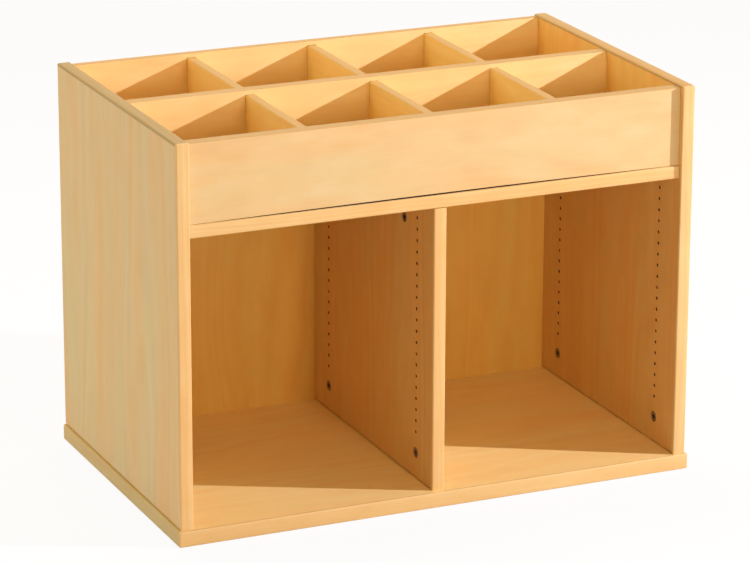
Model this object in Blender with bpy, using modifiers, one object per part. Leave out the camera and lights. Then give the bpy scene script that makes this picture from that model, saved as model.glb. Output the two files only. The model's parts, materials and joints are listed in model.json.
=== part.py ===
"""Paper storage cabinet: eight open bins above two open bays, a knock-down assembly of veneered boards.

Metres, +Z up, the front faces -Y. The origin is on the floor under the middle of the base panel.
Run with: blender --background --python part.py
"""

import math

import bmesh
import bpy
from mathutils import Matrix, Vector

MM = 0.001

# Overall sizes
WIDTH = 750 * MM                 # over the outer faces of the two sides
DEPTH = 455 * MM                 # front to back of a side
HEIGHT = 550 * MM                # floor to the top of the sides

# Board thicknesses
BASE_T = 22 * MM
SIDE_T = 18 * MM
PARTITION_T = 18 * MM
BIN_FLOOR_T = 18 * MM
FRONT_BOARD_T = 18 * MM
MIDDLE_BOARD_T = 18 * MM
BACK_BOARD_T = 12 * MM
DIVIDER_T = 13 * MM
BACK_PANEL_T = 8 * MM
BAND_T = 3 * MM                  # solid edge band glued to a board's visible edge

# Steps between neighbouring boards
BASE_OVERHANG = 3.5 * MM         # base past the sides at the left, right and front
INNER_RECESS = 5.5 * MM          # partition and bin floor behind the front of the sides
FRONT_BOARD_RECESS = 8.5 * MM    # bin front board behind the front of the sides
BACK_PANEL_INSET = 43 * MM       # front face of the lower back panel in from the rear
BIN_BOARD_H = 108 * MM           # height of the long bin boards
SIDE_RISE = 3 * MM               # sides above the long bin boards
DIVIDER_DROP = 6 * MM            # dividers below the long bin boards
BIN_SEAM = 0.8 * MM              # open line between the bin floor and the boards on it
DIVIDER_COUNT = 3

# Joinery
GAP = 0.3 * MM                   # glue line or clearance between two pieces that meet
GROOVE_D = 6 * MM                # groove for the lower back panel
HOUSING_D = 4 * MM               # housing for the end of a bin board or divider
SHOULDER = 14 * MM               # a bin board's tongue stops this far below its top
EDGE_ROUND = 2.2 * MM            # rounding of the edge bands
TOP_ROUND = 1.0 * MM             # rounding of the bin boards' top edges
THINNEST_EASING = 0.9            # largest rounding as a share of a board's thickness

# Lines of pin holes for adjustable shelves
PIN_D = 5 * MM
PIN_DEPTH = 7.5 * MM
PIN_PITCH = 16 * MM
PIN_FIRST = 67 * MM              # lowest hole above the base
PIN_TOP_MARGIN = 24 * MM         # least distance from the highest hole to the bin floor
PIN_FRONT = 60 * MM              # front line behind the front of the sides
PIN_REAR = 52 * MM               # rear line before the lower back panel

# Connecting bolts, screwed into one board, with a head that a cam in the other board pulls on
BOLT_THREAD_D = 5.8 * MM
BOLT_THREAD_L = 11 * MM
BOLT_SHANK_D = 7.0 * MM
BOLT_NECK_D = 3.4 * MM
BOLT_HEAD_D = 6.2 * MM
BOLT_HEAD_L = 3.4 * MM
BOLT_HEAD_FROM_AXIS = 1.2 * MM   # head's end short of the cam's axis
BOLT_SHANK_SHORT = 0.6 * MM      # shank's end short of the cam
BOLT_PLAY = 0.45 * MM            # room around a shank or a neck
HEAD_PLAY = 0.6 * MM             # room around a head inside its cam

# Cam fasteners: a cup with a slotted wall that turns on a bolt's head
CAM_WALL = 1.85 * MM
CAM_PAST_BOLT = 3.9 * MM         # cup's rim past the bolt's axis
CAM_SETBACK = 37 * MM            # cam's axis from the end of its board
CAM_SINK = 0.3 * MM              # cam's face below the board's face
CAM_TURN = math.radians(190)     # from locked to free
CAM_RECESS_L = 7.0 * MM          # cross recess for the screwdriver
CAM_RECESS_W = 1.7 * MM
CAM_RECESS_D = 2.5 * MM
HEAD_CAM_FROM_PIN = 42 * MM      # cams at the partition's head, inwards from the pin lines

# Dowels
DOWEL_D = 8 * MM
DOWEL_L = 30 * MM
DOWEL_IN_FACE = 9.5 * MM         # share of a dowel that sits in the other board's face
DOWEL_INSET = 48 * MM            # dowels inwards from the cams beside them

# Facets
SHARP_ANGLE = math.radians(40)
PIN_SIDES = 8
BORE_SIDES = 8
CAM_SIDES = 16
BAND_SEGMENTS = 3
BOARD_SEGMENTS = 2
OVERSHOOT = 2 * MM               # how far a cutter starts outside the wood

# Planes that the boards share, worked out from the sizes above
SIDE_FACE = WIDTH / 2
INNER_FACE = SIDE_FACE - SIDE_T
FRONT = (BASE_OVERHANG - DEPTH) / 2
REAR = FRONT + DEPTH
INNER_FRONT = FRONT + INNER_RECESS
BACK_PANEL_FRONT = REAR - BACK_PANEL_INSET
BOARDS_TOP = HEIGHT - SIDE_RISE
BOARDS_BOTTOM = BOARDS_TOP - BIN_BOARD_H
DIVIDER_TOP = BOARDS_TOP - DIVIDER_DROP
BIN_FLOOR_TOP = BOARDS_BOTTOM - BIN_SEAM
BIN_FLOOR_UNDER = BIN_FLOOR_TOP - BIN_FLOOR_T
BIN_FLOOR_MIDDLE = (BIN_FLOOR_TOP + BIN_FLOOR_UNDER) / 2
FRONT_BOARD_BACK = FRONT + FRONT_BOARD_RECESS + FRONT_BOARD_T
BACK_BOARD_FRONT = REAR - BACK_BOARD_T
MIDDLE_BOARD_FRONT = (FRONT_BOARD_BACK + BACK_BOARD_FRONT - MIDDLE_BOARD_T) / 2
MIDDLE_BOARD_BACK = MIDDLE_BOARD_FRONT + MIDDLE_BOARD_T
BIN_BOARD_SPANS = {"front": (FRONT_BOARD_BACK - FRONT_BOARD_T, FRONT_BOARD_BACK),
                   "middle": (MIDDLE_BOARD_FRONT, MIDDLE_BOARD_BACK),
                   "back": (BACK_BOARD_FRONT, REAR)}
TONGUE_TOP = BOARDS_TOP - SHOULDER
LAP_Z = (BOARDS_BOTTOM + DIVIDER_TOP) / 2
BIN_W = (2 * INNER_FACE - DIVIDER_COUNT * DIVIDER_T) / (DIVIDER_COUNT + 1)
PIN_LINES = (FRONT + PIN_FRONT, BACK_PANEL_FRONT - PIN_REAR)
HEAD_CAM_LINES = (PIN_LINES[0] + HEAD_CAM_FROM_PIN, PIN_LINES[1] - HEAD_CAM_FROM_PIN)
FOOT_DOWEL_LINES = (PIN_LINES[0] + DOWEL_INSET, PIN_LINES[1] - DOWEL_INSET)
HEAD_DOWEL_LINES = (HEAD_CAM_LINES[0] + DOWEL_INSET, HEAD_CAM_LINES[1] - DOWEL_INSET)
FOOT_CAM_Z = BASE_T + CAM_SETBACK
HEAD_CAM_Z = BIN_FLOOR_UNDER - CAM_SETBACK
BIN_FLOOR_CAM_X = INNER_FACE - CAM_SETBACK
CAM_HOLLOW_R = math.hypot(BOLT_NECK_D / 2, BOLT_HEAD_FROM_AXIS + BOLT_HEAD_L) + HEAD_PLAY
CAM_D = 2 * (CAM_HOLLOW_R + CAM_WALL)
CAM_BORE_D = CAM_D + 2 * GAP
CAM_SLOT_MARGIN = math.asin((BOLT_NECK_D / 2 + HEAD_PLAY) / CAM_HOLLOW_R)
SHANK_BORE_D = BOLT_SHANK_D + 2 * BOLT_PLAY
THREAD_BORE_D = BOLT_THREAD_D + 2 * GAP
DOWEL_IN_EDGE = DOWEL_L - DOWEL_IN_FACE
UPRIGHTS = {"left": -SIDE_FACE + SIDE_T / 2, "centre": 0.0, "right": SIDE_FACE - SIDE_T / 2}
ENDS = ("front", "rear")

# Finishes: base colour, roughness, metallic
VENEER = ((0.80, 0.55, 0.25), 0.45, 0.0)
EDGE_BAND = ((0.85, 0.61, 0.31), 0.40, 0.0)
BACK_VENEER = ((0.62, 0.36, 0.11), 0.50, 0.0)
BARE_BEECH = ((0.70, 0.50, 0.30), 0.65, 0.0)
DARK_ZINC = ((0.10, 0.07, 0.05), 0.45, 0.8)
STEEL = ((0.55, 0.55, 0.57), 0.35, 1.0)

FACE_NAMES = {(-1, 0, 0): "left", (1, 0, 0): "right", (0, -1, 0): "front",
              (0, 1, 0): "rear", (0, 0, -1): "bottom", (0, 0, 1): "top"}
UP = Vector((0, 0, 1))
DOWN = Vector((0, 0, -1))
TO_LEFT = Vector((-1, 0, 0))
TO_RIGHT = Vector((1, 0, 0))


def clear_scene():
    """Remove every object, so the script starts from an empty scene."""
    for old in list(bpy.data.objects):
        bpy.data.objects.remove(old, do_unlink=True)


def new_collection(name):
    """A collection linked into the scene."""
    made = bpy.data.collections.new(name)
    bpy.context.scene.collection.children.link(made)
    return made


clear_scene()
PARTS = new_collection("paper_storage_cabinet")
CUTTERS = new_collection("cutters")


def give_finish(piece, finish):
    """A Principled material of the piece's own."""
    colour, roughness, metallic = finish
    material = bpy.data.materials.new(piece.name + "_finish")
    material.use_nodes = True
    shader = material.node_tree.nodes["Principled BSDF"]
    shader.inputs["Base Color"].default_value = (*colour, 1.0)
    shader.inputs["Roughness"].default_value = roughness
    shader.inputs["Metallic"].default_value = metallic
    piece.data.materials.clear()
    piece.data.materials.append(material)


def new_object(name, bm, collection, place=Vector((0, 0, 0))):
    """An object from a bmesh, which is freed."""
    mesh = bpy.data.meshes.new(name)
    bm.to_mesh(mesh)
    bm.free()
    made = bpy.data.objects.new(name, mesh)
    made.location = place
    collection.objects.link(made)
    return made


def cutter_object(name, bm):
    """A hidden wire object that only cuts."""
    made = new_object(name, bm, CUTTERS)
    made.hide_render = True
    made.display_type = 'WIRE'
    return made


def box_into(bm, low, high):
    """Add a box between two corners and return its vertices."""
    low, high = Vector(low), Vector(high)
    size = high - low
    place = Matrix.Translation((low + high) / 2) @ Matrix.Diagonal((*size, 1.0))
    return bmesh.ops.create_cube(bm, size=1.0, matrix=place)["verts"]


def rod_into(bm, start, along, length, diameter, sides):
    """Add a round rod that starts at a point and runs along a direction."""
    along = Vector(along).normalized()
    middle = Vector(start) + along * (length / 2)
    turn = UP.rotation_difference(along).to_matrix().to_4x4()
    radius = diameter / 2
    bmesh.ops.create_cone(bm, cap_ends=True, segments=sides, radius1=radius, radius2=radius,
                          depth=length, matrix=Matrix.Translation(middle) @ turn)


def board(name, low, high, finish, rounded=(), radius=TOP_ROUND, segments=BOARD_SEGMENTS):
    """A board between two corners; rounded names its eased edges by the two faces that meet there."""
    low, high = Vector(low), Vector(high)
    centre = (low + high) / 2
    bm = bmesh.new()
    box_into(bm, low - centre, high - centre)
    weight = bm.edges.layers.float.new("bevel_weight_edge")
    wanted = {frozenset(pair) for pair in rounded}
    for edge in bm.edges:
        faces = frozenset(FACE_NAMES[tuple(round(part) for part in face.normal)] for face in edge.link_faces)
        edge[weight] = 1.0 if faces in wanted else 0.0
    made = new_object(name, bm, PARTS, centre)
    give_finish(made, finish)
    if rounded:
        easing = made.modifiers.new("eased_edges", 'BEVEL')
        easing.limit_method = 'WEIGHT'
        easing.width = min(radius, THINNEST_EASING * min(high - low))
        easing.segments = segments
    return made


def cut(piece, name, bm):
    """Take the bodies in a bmesh out of a piece."""
    tool = cutter_object(f"{piece.name}_{name}", bm)
    taken = piece.modifiers.new(name, 'BOOLEAN')
    taken.operation = 'DIFFERENCE'
    taken.solver = 'EXACT'
    taken.object = tool


def drill(piece, name, holes):
    """Drill blind holes, each a mouth, a direction into the wood, a depth, a diameter and a side count."""
    bm = bmesh.new()
    for mouth, inwards, depth, diameter, sides in holes:
        start = Vector(mouth) - Vector(inwards) * OVERSHOOT
        rod_into(bm, start, inwards, depth + OVERSHOOT, diameter, sides)
    cut(piece, name, bm)


def mill(piece, name, boxes):
    """Mill grooves and notches, each a box."""
    bm = bmesh.new()
    for low, high in boxes:
        box_into(bm, low, high)
    cut(piece, name, bm)


def evaluated_mesh(piece, name):
    """The mesh of an object with its modifiers applied."""
    bpy.context.view_layer.update()
    graph = bpy.context.evaluated_depsgraph_get()
    mesh = bpy.data.meshes.new_from_object(piece.evaluated_get(graph), depsgraph=graph)
    mesh.name = name
    return mesh


def turned_mesh(name, profile, sides):
    """A turned shape from (radius, height) points that run down its outer side, top to bottom."""
    bm = bmesh.new()
    ring = [bm.verts.new((radius, 0.0, height)) for radius, height in profile]
    for upper, lower in zip(ring, ring[1:]):
        bm.edges.new((upper, lower))
    blank = new_object(name, bm, PARTS)
    lathe = blank.modifiers.new("lathe", 'SCREW')
    lathe.axis = 'Z'
    lathe.steps = sides
    lathe.render_steps = sides
    lathe.use_merge_vertices = True
    lathe.merge_threshold = 0.01 * MM
    mesh = evaluated_mesh(blank, name)
    bpy.data.objects.remove(blank, do_unlink=True)
    return mesh


def fastener(name, mesh, start, along, finish):
    """One copy of a fastener, whose own +Z runs along a direction from its start."""
    made = bpy.data.objects.new(name, mesh.copy())
    made.location = start
    made.rotation_euler = UP.rotation_difference(Vector(along)).to_euler()
    PARTS.objects.link(made)
    give_finish(made, finish)
    made.data.shade_smooth()
    made.data.set_sharp_from_angle(angle=SHARP_ANGLE)


def pin_heights():
    """Heights of the pin holes in one line."""
    span = BIN_FLOOR_UNDER - PIN_TOP_MARGIN - BASE_T - PIN_FIRST
    count = int(span / PIN_PITCH) + 1
    return [BASE_T + PIN_FIRST + PIN_PITCH * step for step in range(count)]


def pin_holes(face_x, inwards):
    """Both lines of pin holes in one face."""
    return [((face_x, line, height), inwards, PIN_DEPTH, PIN_D, PIN_SIDES)
            for line in PIN_LINES for height in pin_heights()]


def cam_bore(mouth, inwards, thickness):
    """Bore for a cam in a board of a given thickness, whose bolt runs in the board's middle plane."""
    return (mouth, inwards, thickness / 2 + CAM_PAST_BOLT + GAP, CAM_BORE_D, CAM_SIDES)


def shank_bore(mouth, inwards):
    """Bore in a board's end for a bolt's shank, as far as the cam's axis."""
    return (mouth, inwards, CAM_SETBACK, SHANK_BORE_D, BORE_SIDES)


def thread_bore(mouth, inwards):
    """Pilot hole that a bolt screws into."""
    return (mouth, inwards, BOLT_THREAD_L + GAP, THREAD_BORE_D, BORE_SIDES)


def dowel_bore(mouth, inwards, depth):
    """Hole for one end of a dowel."""
    return (mouth, inwards, depth + GAP, DOWEL_D + 2 * GAP, BORE_SIDES)


def divider_centres():
    """Places of the dividers across the width, for bins of equal width."""
    step = BIN_W + DIVIDER_T
    return [-INNER_FACE + step * (count + 1) - DIVIDER_T / 2 for count in range(DIVIDER_COUNT)]


def make_base():
    """Base panel with its three edge bands, grooved and drilled in its top."""
    half = SIDE_FACE + BASE_OVERHANG
    lip = FRONT - BASE_OVERHANG
    core_half = half - BAND_T - GAP
    core_front = lip + BAND_T + GAP
    panel = board("base_panel", (-core_half, core_front, 0), (core_half, REAR, BASE_T), VENEER)
    board("base_front_band", (-half, lip, 0), (half, lip + BAND_T, BASE_T), EDGE_BAND,
          [("front", "top"), ("front", "bottom"), ("front", "left"), ("front", "right"),
           ("left", "top"), ("right", "top")], EDGE_ROUND, BAND_SEGMENTS)
    board("base_left_band", (-half, core_front, 0), (-half + BAND_T, REAR, BASE_T), EDGE_BAND,
          [("left", "top"), ("left", "bottom"), ("left", "rear")], EDGE_ROUND, BAND_SEGMENTS)
    board("base_right_band", (half - BAND_T, core_front, 0), (half, REAR, BASE_T), EDGE_BAND,
          [("right", "top"), ("right", "bottom"), ("right", "rear")], EDGE_ROUND, BAND_SEGMENTS)
    holes = [thread_bore((x, line, BASE_T), DOWN) for x in UPRIGHTS.values() for line in PIN_LINES]
    holes += [dowel_bore((x, line, BASE_T), DOWN, DOWEL_IN_FACE)
              for x in UPRIGHTS.values() for line in FOOT_DOWEL_LINES]
    drill(panel, "top_holes", holes)
    reach = INNER_FACE + GROOVE_D
    mill(panel, "back_groove", [((-reach, BACK_PANEL_FRONT - GAP, BASE_T - GROOVE_D),
                                 (reach, BACK_PANEL_FRONT + BACK_PANEL_T + GAP, BASE_T + OVERSHOOT))])


def make_side(name, sign):
    """A side with its bands; sign is -1 at the left and 1 at the right."""
    outer, inner = sign * SIDE_FACE, sign * INNER_FACE
    low_x, high_x = min(outer, inner), max(outer, inner)
    foot = BASE_T + GAP
    core_front = FRONT + BAND_T + GAP
    core_top = HEIGHT - BAND_T - GAP
    panel = board(name, (low_x, core_front, foot), (high_x, REAR, core_top), VENEER)
    board(name + "_front_band", (low_x, FRONT, foot), (high_x, FRONT + BAND_T, HEIGHT), EDGE_BAND,
          [("front", "left"), ("front", "right"), ("front", "top"), ("top", "left"), ("top", "right")],
          EDGE_ROUND, BAND_SEGMENTS)
    board(name + "_top_band", (low_x, core_front, HEIGHT - BAND_T), (high_x, REAR, HEIGHT), EDGE_BAND,
          [("top", "left"), ("top", "right"), ("top", "rear")], EDGE_ROUND, BAND_SEGMENTS)
    outwards = Vector((sign, 0, 0))
    holes = pin_holes(inner, outwards)
    holes += [cam_bore((inner, line, FOOT_CAM_Z), outwards, SIDE_T) for line in PIN_LINES]
    holes += [thread_bore((inner, line, BIN_FLOOR_MIDDLE), outwards) for line in HEAD_CAM_LINES]
    holes += [dowel_bore((inner, line, BIN_FLOOR_MIDDLE), outwards, DOWEL_IN_FACE)
              for line in HEAD_DOWEL_LINES]
    drill(panel, "face_holes", holes)
    middle = (outer + inner) / 2
    ends = [shank_bore((middle, line, foot), UP) for line in PIN_LINES]
    ends += [dowel_bore((middle, line, foot), UP, DOWEL_IN_EDGE) for line in FOOT_DOWEL_LINES]
    drill(panel, "foot_holes", ends)
    mouth = inner - sign * OVERSHOOT
    groove_x = sorted((mouth, inner + sign * GROOVE_D))
    boxes = [((groove_x[0], BACK_PANEL_FRONT - GAP, foot - OVERSHOOT),
              (groove_x[1], BACK_PANEL_FRONT + BACK_PANEL_T + GAP, BIN_FLOOR_UNDER + GROOVE_D))]
    housing_x = sorted((mouth, inner + sign * HOUSING_D))
    boxes += [((housing_x[0], front - GAP, BOARDS_BOTTOM - GAP), (housing_x[1], back + GAP, TONGUE_TOP + GAP))
              for front, back in BIN_BOARD_SPANS.values()]
    mill(panel, "grooves", boxes)


def make_partition():
    """Centre partition with its front band, drilled in both faces and both ends."""
    half = PARTITION_T / 2
    foot, head = BASE_T + GAP, BIN_FLOOR_UNDER - GAP
    core_front = INNER_FRONT + BAND_T + GAP
    panel = board("centre_partition", (-half, core_front, foot), (half, BACK_PANEL_FRONT - GAP, head), VENEER)
    board("partition_front_band", (-half, INNER_FRONT, foot), (half, INNER_FRONT + BAND_T, head), EDGE_BAND,
          [("front", "left"), ("front", "right")], EDGE_ROUND, BAND_SEGMENTS)
    holes = pin_holes(-half, TO_RIGHT) + pin_holes(half, TO_LEFT)
    holes += [cam_bore((-half, line, FOOT_CAM_Z), TO_RIGHT, PARTITION_T) for line in PIN_LINES]
    holes += [cam_bore((-half, line, HEAD_CAM_Z), TO_RIGHT, PARTITION_T) for line in HEAD_CAM_LINES]
    drill(panel, "face_holes", holes)
    ends = [shank_bore((0, line, foot), UP) for line in PIN_LINES]
    ends += [dowel_bore((0, line, foot), UP, DOWEL_IN_EDGE) for line in FOOT_DOWEL_LINES]
    ends += [shank_bore((0, line, head), DOWN) for line in HEAD_CAM_LINES]
    ends += [dowel_bore((0, line, head), DOWN, DOWEL_IN_EDGE) for line in HEAD_DOWEL_LINES]
    drill(panel, "end_holes", ends)


def make_bin_floor():
    """Bin floor with its front band, cam bores in its underside and bolt bores in its ends."""
    half = INNER_FACE - GAP
    core_front = INNER_FRONT + BAND_T + GAP
    panel = board("bin_floor", (-half, core_front, BIN_FLOOR_UNDER), (half, REAR, BIN_FLOOR_TOP), VENEER)
    board("bin_floor_front_band", (-half, INNER_FRONT, BIN_FLOOR_UNDER),
          (half, INNER_FRONT + BAND_T, BIN_FLOOR_TOP), EDGE_BAND,
          [("front", "top"), ("front", "bottom")], EDGE_ROUND, BAND_SEGMENTS)
    holes = [thread_bore((0, line, BIN_FLOOR_UNDER), UP) for line in HEAD_CAM_LINES]
    holes += [dowel_bore((0, line, BIN_FLOOR_UNDER), UP, DOWEL_IN_FACE) for line in HEAD_DOWEL_LINES]
    holes += [cam_bore((sign * BIN_FLOOR_CAM_X, line, BIN_FLOOR_UNDER), UP, BIN_FLOOR_T)
              for sign in (-1, 1) for line in HEAD_CAM_LINES]
    drill(panel, "under_holes", holes)
    ends = []
    for sign in (-1, 1):
        inwards = Vector((-sign, 0, 0))
        ends += [shank_bore((sign * half, line, BIN_FLOOR_MIDDLE), inwards) for line in HEAD_CAM_LINES]
        ends += [dowel_bore((sign * half, line, BIN_FLOOR_MIDDLE), inwards, DOWEL_IN_EDGE)
                 for line in HEAD_DOWEL_LINES]
    drill(panel, "end_holes", ends)
    mill(panel, "back_groove", [((-half - OVERSHOOT, BACK_PANEL_FRONT - GAP, BIN_FLOOR_UNDER - OVERSHOOT),
                                 (half + OVERSHOOT, BACK_PANEL_FRONT + BACK_PANEL_T + GAP,
                                  BIN_FLOOR_UNDER + GROOVE_D))])


def make_bin_board(name, notches):
    """A long bin board with a tongue at each end, and the given notches for the dividers."""
    front, back = BIN_BOARD_SPANS[name]
    half = INNER_FACE + HOUSING_D - GAP
    shoulder = INNER_FACE - GAP
    panel = board(f"bin_{name}_board", (-half, front, BOARDS_BOTTOM), (half, back, BOARDS_TOP), VENEER,
                  [("top", "front"), ("top", "rear")])
    past_end = half + OVERSHOOT
    mill(panel, "shoulders", [((low_x, front - OVERSHOOT, TONGUE_TOP),
                               (high_x, back + OVERSHOOT, BOARDS_TOP + OVERSHOOT))
                              for low_x, high_x in ((-past_end, -shoulder), (shoulder, past_end))])
    mill(panel, "divider_notches", notches)


def make_bin_boards():
    """The three long boards of the bins: two are housed for the dividers and the middle one is lapped."""
    slot = DIVIDER_T / 2 + GAP
    below = BOARDS_BOTTOM - OVERSHOOT
    places = divider_centres()
    make_bin_board("front", [((x - slot, FRONT_BOARD_BACK - HOUSING_D, below),
                              (x + slot, FRONT_BOARD_BACK + OVERSHOOT, DIVIDER_TOP + GAP)) for x in places])
    make_bin_board("middle", [((x - slot, MIDDLE_BOARD_FRONT - OVERSHOOT, below),
                               (x + slot, MIDDLE_BOARD_BACK + OVERSHOOT, LAP_Z + GAP)) for x in places])
    make_bin_board("back", [((x - slot, BACK_BOARD_FRONT - OVERSHOOT, below),
                             (x + slot, BACK_BOARD_FRONT + HOUSING_D, DIVIDER_TOP + GAP)) for x in places])


def make_dividers():
    """Three dividers, housed in the front and back boards and lapped over the middle board."""
    tongue = HOUSING_D - GAP
    for count, x in enumerate(divider_centres(), start=1):
        divider = board(f"bin_divider_{count}", (x - DIVIDER_T / 2, FRONT_BOARD_BACK - tongue, BOARDS_BOTTOM),
                        (x + DIVIDER_T / 2, BACK_BOARD_FRONT + tongue, DIVIDER_TOP), VENEER,
                        [("top", "left"), ("top", "right")])
        mill(divider, "cross_lap", [((x - DIVIDER_T, MIDDLE_BOARD_FRONT - GAP, LAP_Z),
                                     (x + DIVIDER_T, MIDDLE_BOARD_BACK + GAP, DIVIDER_TOP + OVERSHOOT))])


def make_back_panel():
    """Lower back panel, held in grooves on all four sides."""
    tongue = GROOVE_D - GAP
    half = INNER_FACE + tongue
    board("lower_back_panel", (-half, BACK_PANEL_FRONT, BASE_T - tongue),
          (half, BACK_PANEL_FRONT + BACK_PANEL_T, BIN_FLOOR_UNDER + tongue), BACK_VENEER)


def wedge_into(bm, radius, first, last, low, high, steps):
    """Add a slice of a round cake between two angles and two heights."""
    rim = [first + (last - first) * step / steps for step in range(steps + 1)]
    outline = [Vector((0, 0, low))]
    outline += [Vector((radius * math.cos(turn), radius * math.sin(turn), low)) for turn in rim]
    base = bm.faces.new([bm.verts.new(point) for point in outline])
    grown = bmesh.ops.extrude_face_region(bm, geom=[base])["geom"]
    lifted = [item for item in grown if isinstance(item, bmesh.types.BMVert)]
    bmesh.ops.translate(bm, vec=Vector((0, 0, high - low)), verts=lifted)
    bmesh.ops.recalc_face_normals(bm, faces=bm.faces)


def cam_mesh(thickness):
    """A cam for a board of a given thickness: its face looks along +Z at height 0, its bolt comes from -Y."""
    bolt_depth = thickness / 2 - CAM_SINK
    height = bolt_depth + CAM_PAST_BOLT
    face = bolt_depth - BOLT_HEAD_D / 2 - HEAD_PLAY
    locked = -math.pi / 2
    free = locked - CAM_TURN
    bm = bmesh.new()
    rod_into(bm, (0, 0, 0), DOWN, height, CAM_D, CAM_SIDES)
    blank = new_object("cam_blank", bm, PARTS)

    hollow = bmesh.new()
    rod_into(hollow, (0, 0, -face), DOWN, height, 2 * CAM_HOLLOW_R, CAM_SIDES)
    cut(blank, "hollow", hollow)

    slot = bmesh.new()
    slot_half = BOLT_NECK_D / 2 + BOLT_PLAY
    wedge_into(slot, CAM_D, free - CAM_SLOT_MARGIN, locked + CAM_SLOT_MARGIN,
               -bolt_depth - slot_half, -bolt_depth + slot_half, CAM_SIDES)
    cut(blank, "neck_slot", slot)

    entry = bmesh.new()
    way_in = Vector((math.cos(free), math.sin(free), 0))
    rod_into(entry, (0, 0, -bolt_depth), way_in, CAM_D, BOLT_HEAD_D + 2 * GAP, BORE_SIDES)
    cut(blank, "head_entry", entry)

    long_arm, short_arm = CAM_RECESS_L / 2, CAM_RECESS_W / 2
    for name, half_x, half_y in (("across", long_arm, short_arm), ("along", short_arm, long_arm)):
        recess = bmesh.new()
        box_into(recess, (-half_x, -half_y, -CAM_RECESS_D), (half_x, half_y, OVERSHOOT))
        cut(blank, "recess_" + name, recess)

    mesh = evaluated_mesh(blank, "cam")
    for taken in blank.modifiers:
        bpy.data.objects.remove(taken.object, do_unlink=True)
    bpy.data.objects.remove(blank, do_unlink=True)
    mesh.shade_smooth()
    mesh.set_sharp_from_angle(angle=SHARP_ANGLE)
    return mesh


def make_cam(name, mesh, mouth, outwards, to_bolt):
    """A cam on its axis: its face looks outwards, its bolt lies towards to_bolt."""
    outwards, to_bolt = Vector(outwards), Vector(to_bolt)
    made = bpy.data.objects.new(name, mesh.copy())
    across = (-to_bolt).cross(outwards)
    turn = Matrix((across, -to_bolt, outwards)).transposed()
    made.location = Vector(mouth) - outwards * CAM_SINK
    made.rotation_euler = turn.to_euler()
    PARTS.objects.link(made)
    give_finish(made, DARK_ZINC)


def make_cams():
    """All twelve cams, named for the board they sit in and their place there."""
    side_cam, partition_cam, floor_cam = (cam_mesh(size) for size in (SIDE_T, PARTITION_T, BIN_FLOOR_T))
    half = PARTITION_T / 2
    for end, line in zip(ENDS, PIN_LINES):
        make_cam(f"left_side_cam_{end}", side_cam, (-INNER_FACE, line, FOOT_CAM_Z), TO_RIGHT, DOWN)
        make_cam(f"right_side_cam_{end}", side_cam, (INNER_FACE, line, FOOT_CAM_Z), TO_LEFT, DOWN)
        make_cam(f"partition_foot_cam_{end}", partition_cam, (-half, line, FOOT_CAM_Z), TO_LEFT, DOWN)
    for end, line in zip(ENDS, HEAD_CAM_LINES):
        make_cam(f"partition_head_cam_{end}", partition_cam, (-half, line, HEAD_CAM_Z), TO_LEFT, UP)
        for place, sign in (("left", -1), ("right", 1)):
            make_cam(f"bin_floor_cam_{place}_{end}", floor_cam,
                     (sign * BIN_FLOOR_CAM_X, line, BIN_FLOOR_UNDER), DOWN, (sign, 0, 0))
    for mesh in (side_cam, partition_cam, floor_cam):
        bpy.data.meshes.remove(mesh)


def make_bolts():
    """Connecting bolts: thread in one board, head in the cam of the other."""
    head_end = CAM_SETBACK - BOLT_HEAD_FROM_AXIS
    head_start = head_end - BOLT_HEAD_L
    shank_end = CAM_SETBACK - CAM_D / 2 - BOLT_SHANK_SHORT
    head, neck, shank, thread = (size / 2 for size in (BOLT_HEAD_D, BOLT_NECK_D, BOLT_SHANK_D, BOLT_THREAD_D))
    shoulder = head_start + BOLT_HEAD_L / 2
    profile = [(0, head_end), (head, head_end), (head, shoulder), (neck, head_start), (neck, shank_end),
               (shank, shank_end), (shank, GAP), (thread, GAP), (thread, -BOLT_THREAD_L), (0, -BOLT_THREAD_L)]
    mesh = turned_mesh("connecting_bolt", profile, BORE_SIDES)
    for end, line in zip(ENDS, PIN_LINES):
        for place, x in UPRIGHTS.items():
            fastener(f"base_bolt_{place}_{end}", mesh, (x, line, BASE_T), UP, STEEL)
    for end, line in zip(ENDS, HEAD_CAM_LINES):
        fastener(f"partition_head_bolt_{end}", mesh, (0, line, BIN_FLOOR_UNDER), DOWN, STEEL)
        for place, sign in (("left", -1), ("right", 1)):
            fastener(f"bin_floor_bolt_{place}_{end}", mesh,
                     (sign * INNER_FACE, line, BIN_FLOOR_MIDDLE), (-sign, 0, 0), STEEL)
    bpy.data.meshes.remove(mesh)


def make_dowels():
    """Dowels between the boards; each starts in one board's face and runs into the other's end."""
    radius = DOWEL_D / 2
    mesh = turned_mesh("dowel", [(0, DOWEL_IN_EDGE), (radius, DOWEL_IN_EDGE), (radius, -DOWEL_IN_FACE),
                                 (0, -DOWEL_IN_FACE)], BORE_SIDES)
    for end, line in zip(ENDS, FOOT_DOWEL_LINES):
        for place, x in UPRIGHTS.items():
            fastener(f"base_dowel_{place}_{end}", mesh, (x, line, BASE_T), UP, BARE_BEECH)
    for end, line in zip(ENDS, HEAD_DOWEL_LINES):
        fastener(f"partition_head_dowel_{end}", mesh, (0, line, BIN_FLOOR_UNDER), DOWN, BARE_BEECH)
        for place, sign in (("left", -1), ("right", 1)):
            fastener(f"bin_floor_dowel_{place}_{end}", mesh,
                     (sign * INNER_FACE, line, BIN_FLOOR_MIDDLE), (-sign, 0, 0), BARE_BEECH)
    bpy.data.meshes.remove(mesh)


def main():
    """Build every piece."""
    make_base()
    make_side("left_side", -1)
    make_side("right_side", 1)
    make_partition()
    make_bin_floor()
    make_bin_boards()
    make_dividers()
    make_back_panel()
    make_cams()
    make_bolts()
    make_dowels()


main()
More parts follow.
